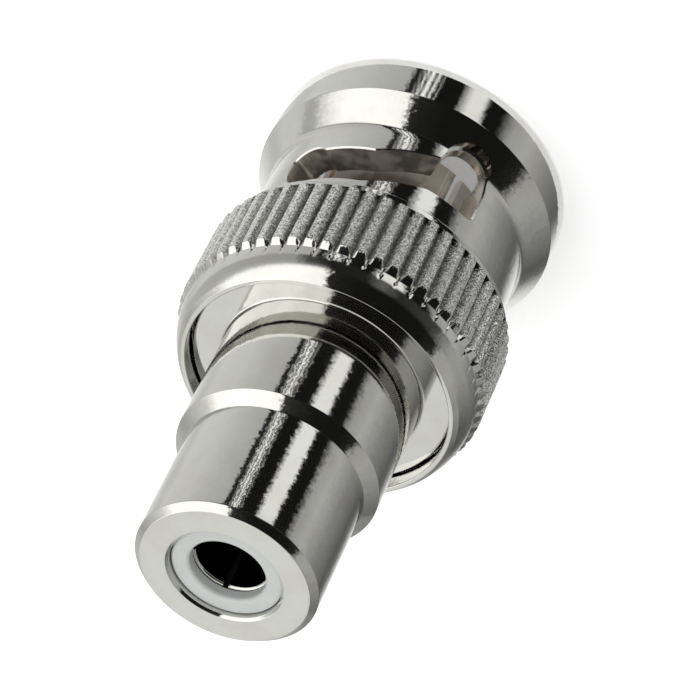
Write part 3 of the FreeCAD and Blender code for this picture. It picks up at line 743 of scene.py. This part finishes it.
class ADAPTER_OT_bushes(bpy.types.Operator):
    """Turn the two white insulators."""

    bl_idname = "adapter.bushes"
    bl_label = "Insulators"

    def execute(self, context):
        s, f = settings()
        outer = s.shell_bore - PLAY
        seat = s.contact_bore + s.contact_wall + PLAY
        lip = s.contact_top + PLAY
        # The bores of the insulators are painted dark, as painted shade.
        finish = moulded(
            "white_moulding", f.white, 0.95, 0.34, 9000.0, 0.002 * MM, 0.05,
            painted_bore_shade=(seat + PLAY, lip),
        )
        ring = turned("socket_bush", [
            (seat, s.spigot_foot, 0),
            (outer, s.spigot_foot, 0),
            (outer, s.bush_face, 0.12 * MM),
            (s.bush_mouth, s.bush_face, 0.2 * MM),
            (s.bush_mouth, lip, FINE),
            (seat, lip, 0),
        ])
        finished(ring, "core", "socket_insulator", finish)
        front = 7.7 * MM
        plug = turned("plug_bush", [
            (s.stem + PLAY, front, FINE),
            (s.stem + PLAY, SEAT_FOOT, 0),
            (outer, SEAT_FOOT, 0),
            (outer, SHOULDER_FOOT - PLAY, 0),
            (s.plug_bore - PLAY, SHOULDER_FOOT - PLAY, 0),
            (s.plug_bore - PLAY, front, 0.2 * MM),
        ][::-1])
        finished(plug, "core", "plug_insulator", finish)
        return {"FINISHED"}


def crossed_slits(name, width, low, high, reach, first_turn):
    """Cutters for two slits that cross at the axis."""
    turns = [math.radians(first_turn + 90 * k) for k in range(2)]
    return [
        slab(f"{name}_{k}", width / 2, low, high, -reach, reach, turn)
        for k, turn in enumerate(turns)
    ]


class ADAPTER_OT_contact(bpy.types.Operator):
    """Turn the centre contact and slit its leaves."""

    bl_idname = "adapter.contact"
    bl_label = "Centre contact"

    def execute(self, context):
        s, f = settings()
        outer = s.contact_bore + s.contact_wall
        foot = SEAT_FOOT + PLAY
        floor = foot + 1.2 * MM
        item = turned("leaf_contact", [
            (TENON + PLAY, TENON_FOOT, 0),
            (s.stem, TENON_FOOT, 0),
            (s.stem, foot, 0),
            (outer, foot, 0),
            (outer, s.contact_top, 0.1 * MM),
            (s.contact_bore, s.contact_top, 0.16 * MM),
            (s.contact_bore, floor, 0.2 * MM),
            (0, floor, 0),
            (0, TENON_TOP + PLAY, 0),
            (TENON + PLAY, TENON_TOP + PLAY, 0),
        ], 128)
        over = 1 * MM
        low, high = s.contact_top - 7.5 * MM, s.contact_top + over
        cut(item, crossed_slits("leaf_slit", s.leaf_slit, low, high, outer + over, 7.5))
        # The bore inside the leaves is painted dark, as painted shade.
        finish = turned_metal(
            "nickel_leaf", f.nickel, f.nickel_dull, f.gloss * 1.4, 0.06, 0.05, 0.0008 * MM, 0.3,
            painted_bore_shade=(s.contact_bore + 0.02 * MM, s.contact_top - 0.45 * MM),
        )
        finished(item, "core", "center_socket", finish)
        return {"FINISHED"}


class ADAPTER_OT_plug_body(bpy.types.Operator):
    """Turn the plug body and slit its spring fingers."""

    bl_idname = "adapter.plug_body"
    bl_label = "Plug body"

    def execute(self, context):
        s, f = settings()
        bevel = 0.25 * MM
        item = turned("finger_body", [
            (s.plug_bore, s.plug_tip, FINE),
            (s.plug_outer - bevel, s.plug_tip, FINE),
            (s.plug_outer, s.plug_tip + bevel, FINE),
            (s.plug_outer, RING_GROOVE_FOOT, FINE),
            (RING_GROOVE, RING_GROOVE_FOOT, FINE),
            (RING_GROOVE, SHOULDER_FOOT, FINE),
            (s.plug_shoulder, SHOULDER_FOOT, FINE),
            (s.plug_shoulder, SHOULDER_TOP, FINE),
            (s.neck, SHOULDER_TOP, FINE),
            (s.neck, s.hub_foot, 0),
            (SEAT, s.hub_foot, 0),
            (SEAT, SEAT_FOOT, 0),
            (s.shell_bore, SEAT_FOOT, 0),
            (s.shell_bore, SHOULDER_FOOT, 0),
            (s.plug_bore, SHOULDER_FOOT, 0),
        ])
        over = 1 * MM
        low, high = s.plug_tip - over, s.plug_tip + 6 * MM
        cut(item, crossed_slits("finger_slit", s.finger_slit, low, high, s.plug_outer + over, 65))
        # The plug body gets painted bright streaks and painted shade towards the top, between
        # these heights.
        finish = turned_metal(
            "nickel_inner", f.body_nickel, f.nickel_dull, f.gloss * 2.2, 0.10, 0.1,
            0.0008 * MM, 0.4, painted_gleam_and_shade=(3.8 * MM, 5.6 * MM), metal=0.85,
        )
        finished(item, "core", "plug_body", finish)
        return {"FINISHED"}


class ADAPTER_OT_pin(bpy.types.Operator):
    """Turn the gold centre pin."""

    bl_idname = "adapter.pin"
    bl_label = "Centre pin"

    def execute(self, context):
        s, f = settings()
        tip, cone, shank = 2.6 * MM, 1.1 * MM, 7.4 * MM
        item = turned("gold_pin", [
            (0, tip, 0),
            (0.25 * MM, tip, 0.1 * MM),
            (s.pin, tip + cone, 0.3 * MM),
            (s.pin, shank, 0.03 * MM),
            (s.stem, shank, FINE),
            (s.stem, TENON_FOOT, 0),
            (TENON, TENON_FOOT, 0),
            (TENON, TENON_TOP, 0),
            (0, TENON_TOP, 0),
        ], 96)
        dull = tuple(c * 0.85 for c in f.gold)
        finish = turned_metal("gold_plate", f.gold, dull, 0.16, 0.04, 0.02, 0.0006 * MM, 0.3)
        finished(item, "core", "plug_center_pin", finish)
        return {"FINISHED"}


class ADAPTER_OT_nut(bpy.types.Operator):
    """Turn and knurl the coupling nut, then mill its cam slots and stud grooves."""

    bl_idname = "adapter.nut"
    bl_label = "Coupling nut"

    def execute(self, context):
        s, f = settings()
        profile = nut_profile(s)
        angles, sections = knurled(s, profile)
        points = carried(sections, angles)
        quads = grid_quads(len(angles), len(profile))
        item = new_mesh("knurled_nut", points.reshape(-1, 3), quads)
        half_turns = [0, math.pi]
        cutters = [slot_cutter(f"cam_{k}", s, turn) for k, turn in enumerate(half_turns)]
        low, high = -1 * MM, s.entry_hole_height
        near, far = s.plug_outer, s.groove_floor
        cutters += [
            slab(f"stud_{k}", s.groove_half, low, high, near, far, ENTRY_TURN + turn)
            for k, turn in enumerate(half_turns)
        ]
        cut(item, cutters)
        # The slot walls are matt and carry random clouds of painted shade.
        finish = turned_metal(
            "nickel_nut", f.nickel, f.nickel_dull, f.gloss, 0.02, 0.06, 0.0005 * MM, 0.3,
            pressed=(s.knurl_foot, s.knurl_top + 0.1 * MM, s.knurl_root, s.knurl),
            milled_and_shaded=(s.nut_bore, s.waist),
        )
        finished(item, "nut", "coupling_nut", finish)
        return {"FINISHED"}


class ADAPTER_OT_inner_rings(bpy.types.Operator):
    """Bend the wave spring, and finish its washer and the sealing ring, whose solids stay."""

    bl_idname = "adapter.inner_rings"
    bl_label = "Inner rings"

    def execute(self, context):
        s, f = settings()
        dull = tuple(c * 0.8 for c in f.steel)
        steel = turned_metal("spring_strip", f.steel, dull, 0.3, 0.04, 0.04, 0.001 * MM, 0.3)
        silicone = moulded("silicone_ring", f.silicone, 0.85, 0.5, 7000.0, 0.004 * MM)
        for node, finish in (("thrust_washer", steel), ("sealing_gasket", silicone)):
            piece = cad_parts[node]
            piece.data.materials.clear()
            piece.data.materials.append(finish)
        spring = self.bend_spring(s)
        finished(spring, "core", "wave_spring", steel)
        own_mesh(spring)
        return {"FINISHED"}

    def bend_spring(self, s):
        """A flat strip round the axis, whose middle is at height(a) = middle + swing cos 3a."""
        waves = 3
        angles = around(192)
        half = s.spring_strip / 2
        edge = 0.04 * MM
        strip = rounded([
            (s.lip_bore, -half, edge),
            (s.lip_bore + s.spring_width, -half, edge),
            (s.lip_bore + s.spring_width, half, edge),
            (s.lip_bore, half, edge),
        ])
        swing = (s.spring_top - s.spring_foot) / 2 - half
        height = (s.spring_top + s.spring_foot) / 2 + swing * np.cos(waves * angles)
        sections = np.repeat(strip[None, :, :], len(angles), axis=0)
        sections[:, :, 1] += height[:, None]
        points = carried(sections, angles).reshape(-1, 3)
        return new_mesh("spring_ring", points, grid_quads(len(angles), len(strip)))


# The light tent, as the metal shows it. The levels were worked out from how bright the
# photograph's metal is and then set one by one. The barrels and the nut reflect its floor near
# the adapter: degrees from the middle of the front barrel, the same on the nut, level.
FLOOR_BANDS = [
    (-90.0, -90.0, 0.95),
    (-80.0, -80.0, 0.80),
    (-74.0, -74.0, 0.72),
    (-68.0, -68.0, 0.66),
    (-60.0, -60.0, 0.80),
    (-44.0, -44.0, 0.76),
    (-30.0, -30.0, 0.62),
    (-19.4, -19.0, 0.54),
    (-18.2, -18.4, 0.02),
    (-15.9, -16.0, 0.02),
    (-15.6, -15.6, 0.60),
    (-15.2, -15.1, 0.03),
    (-14.6, -14.5, 0.05),
    (-14.2, -14.1, 1.30),
    (-13.8, -13.6, 0.90),
    (-13.5, -13.2, 0.05),
    (-13.0, -12.6, 0.10),
    (-12.6, -12.1, 1.50),
    (-11.9, -11.2, 1.10),
    (-11.6, -10.6, 0.02),
    (-11.1, -10.1, 0.10),
    (-10.7, -9.6, 1.20),
    (-10.2, -9.0, 0.70),
    (-9.9, -8.5, 0.02),
    (-9.0, -7.7, 0.03),
    (-8.7, -7.3, 0.60),
    (-8.3, -7.0, 0.02),
    (-7.9, -6.6, 0.01),
    (0.0, 0.5, 0.01),
    (3.2, 5.0, 1.05),
    (11.0, 10.2, 1.05),
    (12.8, 12.0, 0.01),
    (21.0, 19.0, 0.01),
    (25.5, 24.5, 0.44),
    (34.0, 34.0, 0.54),
    (48.0, 48.0, 0.30),
    (66.0, 66.0, 0.13),
    (72.0, 72.0, 0.18),
    (82.0, 82.0, 0.70),
    (90.0, 90.0, 0.95),
]
# Slanting faces reflect the rest: azimuth, level of the far floor, level of the dome.
ROOM_BANDS = [
    (-270.0, 0.60, 0.92),
    (-240.0, 0.30, 0.50),
    (-225.0, 0.12, 0.20),
    (-210.0, 0.13, 0.30),
    (-195.0, 0.25, 0.42),
    (-180.0, 0.38, 0.50),
    (-164.0, 0.45, 0.46),
    (-156.0, 0.38, 0.02),
    (-142.0, 0.06, 0.01),
    (-112.0, 0.03, 0.01),
    (-100.0, 0.16, 0.01),
    (-88.0, 0.02, 0.01),
    (-66.0, 0.02, 0.02),
    (-61.0, 0.03, 1.40),
    (-50.0, 0.10, 1.50),
    (-40.0, 0.42, 1.50),
    (8.0, 0.55, 1.50),
    (20.0, 0.58, 0.85),
    (45.0, 0.62, 0.48),
    (90.0, 0.60, 0.92),
]


def tent_level(azimuth, distance):
    """Light on the floor of the tent at an azimuth, in degrees, and a distance from the axis.

    A barrel at angle t from the middle reflects azimuth -90 - 2t far away, and less of it
    near the nut, so the azimuth is stretched close in. Behind the bands lies a plain ring,
    and the dome's own levels reach down to the floor further out.
    """
    azimuth, distance = np.broadcast_arrays(azimuth, distance)
    stretch = 1 + 53 * MM ** 2 / distance ** 2
    turn = np.clip(-(azimuth + 90) * stretch / 2, -90, 90)
    share = np.clip((distance[0] / MM - 13) / 16, 0, 1)
    front, nut, level = (np.array(column) for column in zip(*FLOOR_BANDS))
    rings = [np.interp(ring, nut + (front - nut) * k, level) for ring, k in zip(turn.T, share)]
    bands = np.stack(rings, axis=1)
    place, ring, dome = (np.array(column) for column in zip(*ROOM_BANDS))
    behind = np.interp(azimuth, place, ring)
    far = np.interp(azimuth, place, dome)
    to_ring = np.clip((distance / MM - 37) / 4, 0, 1)
    to_dome = np.clip((distance / MM - 80) / 800, 0, 1)
    return bands * (1 - to_ring) + (behind * (1 - to_dome) + far * to_dome) * to_ring


def dome_level(azimuth, elevation):
    """Light on the dome of the tent.

    It takes over from the floor softly, its edges lean a little, one window stands high at
    the left behind the adapter, and it is even near its top.
    """
    place, ring, dome = (np.array(column) for column in zip(*ROOM_BANDS))
    lean = np.where(azimuth < -100, 8 * np.clip(elevation / 40 - 1, -1, 0), 2 - 0.1 * elevation)
    lean = lean * (azimuth > -200) * (azimuth < -30)
    rise = np.clip(0.3 + elevation / 6, 0, 1)
    low = np.interp(azimuth + lean, place, ring)
    high = np.interp(azimuth + lean, place, dome)
    level = low + (high - low) * rise
    window_level, top_level = 1.6, 0.9
    window = np.clip((elevation - 30) / 8, 0, 1) * np.clip((64 - azimuth) / 8, 0, 1)
    window = window * (azimuth > -30)
    level = level + (window_level - level) * window
    top = np.clip((elevation - 58) / 20, 0, 1)
    return level * (1 - top) + top_level * top


class ADAPTER_OT_stage(bpy.types.Operator):
    """Floor, soft light, the tent that the metal reflects, and the camera."""

    bl_idname = "adapter.stage"
    bl_label = "Studio"

    def execute(self, context):
        s, f = settings()
        self.make_floor(f)
        self.make_tent(s)
        self.make_light(f)
        self.make_camera()
        context.scene.view_settings.view_transform = "Standard"
        return {"FINISHED"}

    def make_floor(self, f):
        """A wide disc with a faint unevenness."""
        radii = np.array([0.0, 0.05, 0.2, 0.8, 3.0])
        profile = np.stack([radii, np.zeros(len(radii))], axis=1)
        angles = around(96)
        points = carried(profile, angles)
        quads = grid_quads(len(angles), len(radii), wrap_columns=False)[:, ::-1]
        item = new_mesh("studio_floor", points.reshape(-1, 3), quads)
        welded(item)
        g = Graph("floor_paper")
        cloud = g.noise(g.place, 30.0, 2.0)
        tone = g.mix(cloud, tuple(f.floor), tuple(c * 0.985 for c in f.floor))
        ray = g.node("ShaderNodeLightPath").outputs
        direct = g.maths("MAXIMUM", ray["Is Camera Ray"], ray["Is Glossy Ray"])
        direct = g.maths("MAXIMUM", direct, ray["Is Transmission Ray"])
        g.principled(
            Base_Color=tone,
            Roughness=0.9,
            Specular_IOR_Level=0.0,
            Emission_Color=(1, 1, 1, 1),
            Emission_Strength=g.maths("MULTIPLY", direct, f.floor_lift),
        )
        item.data.materials.append(g.material)

    def make_tent(self, s):
        """Floor cards and dome in one surface, which only reflections see."""
        count, rings, slices = 720, 40, 30
        wall = 0.32
        radii = np.geomspace(s.flange + 0.4 * MM, wall, rings)
        lift = 0.03 * MM
        elevation = np.radians(np.linspace(0, 90, slices + 1)[1:])
        profile = np.concatenate([
            np.stack([radii, np.full(len(radii), lift)], axis=1),
            np.stack([wall * np.cos(elevation), wall * np.sin(elevation) + lift], axis=1),
        ])
        angles = around(count, math.radians(-270))
        points = carried(profile, angles).reshape(-1, 3)
        quads = grid_quads(count, len(profile), wrap_columns=False)
        item = new_mesh("light_tent", points, quads)
        azimuth = np.degrees(angles)
        floor_level = tent_level(azimuth[:, None], radii[None, :])
        dome = dome_level(azimuth[:, None], np.degrees(elevation)[None, :])
        level = np.concatenate([floor_level, dome], axis=1).ravel()
        tint = np.array([1.0, 1.0, 0.975])
        values = np.concatenate([level[:, None] * tint, np.ones((len(level), 1))], axis=1)
        layer = item.data.color_attributes.new("level", "FLOAT_COLOR", "POINT")
        layer.data.foreach_set("color", values.astype(np.float32).ravel())
        g = Graph("tent_cloth")
        shown = g.node("ShaderNodeAttribute", attribute_name="level")
        glow = g.node("ShaderNodeEmission")
        g.feed(glow.inputs["Color"], shown.outputs["Color"])
        g.tree.links.new(glow.outputs[0], g.output.inputs["Surface"])
        g.material.cycles.emission_sampling = "NONE"
        item.data.materials.append(g.material)
        item.visible_camera = False
        item.visible_diffuse = False
        item.visible_shadow = False
        item.visible_transmission = False
        item.visible_volume_scatter = False

    def make_light(self, f):
        """Even light from all round and one large soft box above."""
        world = bpy.data.worlds.new("soft_room")
        bpy.context.scene.world = world
        world.use_nodes = True
        background = world.node_tree.nodes["Background"]
        background.inputs["Color"].default_value = (1, 1, 1, 1)
        background.inputs["Strength"].default_value = f.world_level
        lamp = bpy.data.lights.new("soft_box", "AREA")
        lamp.shape = "DISK"
        lamp.size = 0.5
        lamp.energy = f.lamp_power
        lamp.specular_factor = 0.0
        holder = bpy.data.objects.new("soft_box", lamp)
        bpy.context.scene.collection.objects.link(holder)
        place = Vector((0.15, -0.15, 0.6))
        turn = place.to_track_quat("Z", "Y").to_matrix().to_4x4()
        holder.matrix_world = Matrix.Translation(place) @ turn

    def make_camera(self):
        """The photograph's view: from -Y, 43 degrees up, rolled so that the axis leans."""
        right = Vector((-0.90023, -0.29562, -0.31967))
        up = Vector((0.43541, -0.61120, -0.66094))
        back = Vector((0.0, -0.73419, 0.67895))
        place = Vector((-0.613, -117.57, 120.59)) * MM
        data = bpy.data.cameras.new("photo_view")
        data.sensor_width = 36.0
        data.lens = 182.6
        data.clip_start = 0.01
        data.clip_end = 20.0
        holder = bpy.data.objects.new("photo_view", data)
        bpy.context.scene.collection.objects.link(holder)
        turn = Matrix((right, up, back)).transposed().to_4x4()
        holder.matrix_world = Matrix.Translation(place) @ turn
        bpy.context.scene.camera = holder


class ADAPTER_PT_panel(bpy.types.Panel):
    """Lists the pieces, their sizes and their finishes."""

    bl_idname = "ADAPTER_PT_panel"
    bl_label = "Adapter"
    bl_space_type = "VIEW_3D"
    bl_region_type = "UI"
    bl_category = "Adapter"

    def draw(self, context):
        for maker in MAKERS:
            self.layout.operator(maker.bl_idname)
        for group in (context.scene.adapter_sizes, context.scene.adapter_finishes):
            for key in group.__annotations__:
                self.layout.prop(group, key)


MAKERS = (
    ADAPTER_OT_shell,
    ADAPTER_OT_bushes,
    ADAPTER_OT_contact,
    ADAPTER_OT_plug_body,
    ADAPTER_OT_pin,
    ADAPTER_OT_nut,
    ADAPTER_OT_inner_rings,
    ADAPTER_OT_stage,
)
CLASSES = (AdapterSizes, AdapterFinishes, *MAKERS, ADAPTER_PT_panel)


def register():
    for item in CLASSES:
        bpy.utils.register_class(item)
    bpy.types.Scene.adapter_sizes = PointerProperty(type=AdapterSizes)
    bpy.types.Scene.adapter_finishes = PointerProperty(type=AdapterFinishes)


def unregister():
    del bpy.types.Scene.adapter_finishes
    del bpy.types.Scene.adapter_sizes
    for item in reversed(CLASSES):
        bpy.utils.unregister_class(item)


def main():
    """Make every piece and the stage."""
    register()
    for maker in MAKERS:
        getattr(bpy.ops.adapter, maker.bl_idname.partition(".")[2])()


if __name__ == "__main__":
    main()
